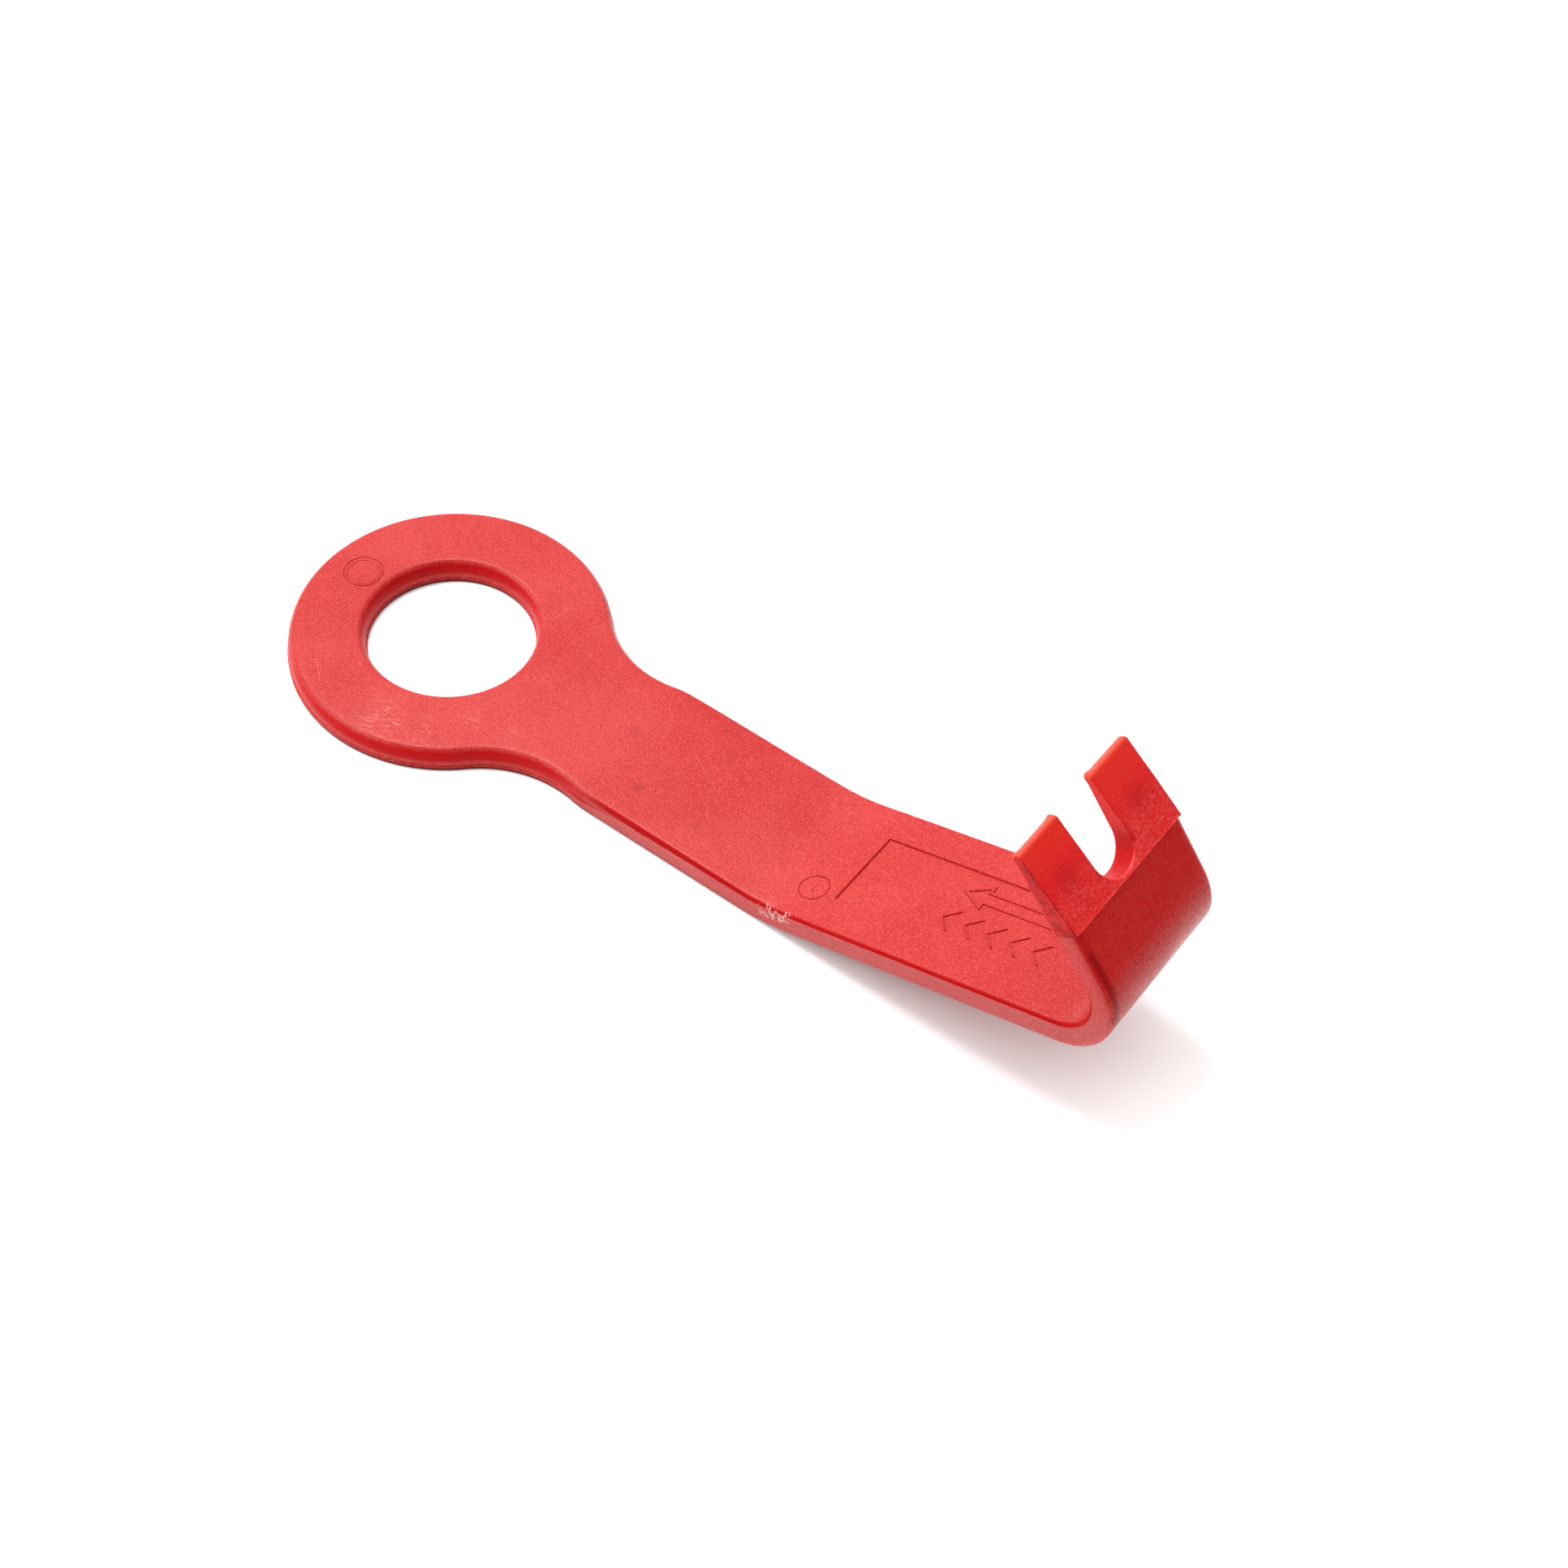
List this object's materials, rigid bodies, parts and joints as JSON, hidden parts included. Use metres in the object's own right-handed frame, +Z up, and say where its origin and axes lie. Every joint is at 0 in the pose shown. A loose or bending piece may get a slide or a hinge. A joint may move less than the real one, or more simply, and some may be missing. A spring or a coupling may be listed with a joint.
{
  "type": "pull-type removal tool",
  "caption": "Small red plastic hand tool for pulling things off: a finger ring, a flat handle, a raised arm and a turned-back hook that ends in a thin forked edge.",
  "frame": {"origin": "on the finger hole's axis, at the flat underside that the tool lies on", "axes": "+X from the ring along the handle to the hook, +Y across the tool, +Z up from the surface it lies on, along the finger hole"},
  "size_m": [0.1771, 0.0592, 0.0559],
  "materials": {
    "body_plastic": "satin, fine moulded grain",
    "fork_plastic": "satin, coarser grain from its own mould insert"
  },
  "bodies": {
    "root": {"grip_ring": "body_plastic", "handle": "body_plastic", "elbow": "body_plastic", "arm": "body_plastic", "heel": "body_plastic", "shank": "body_plastic", "fork": "fork_plastic"}
  },
  "joints": []
}
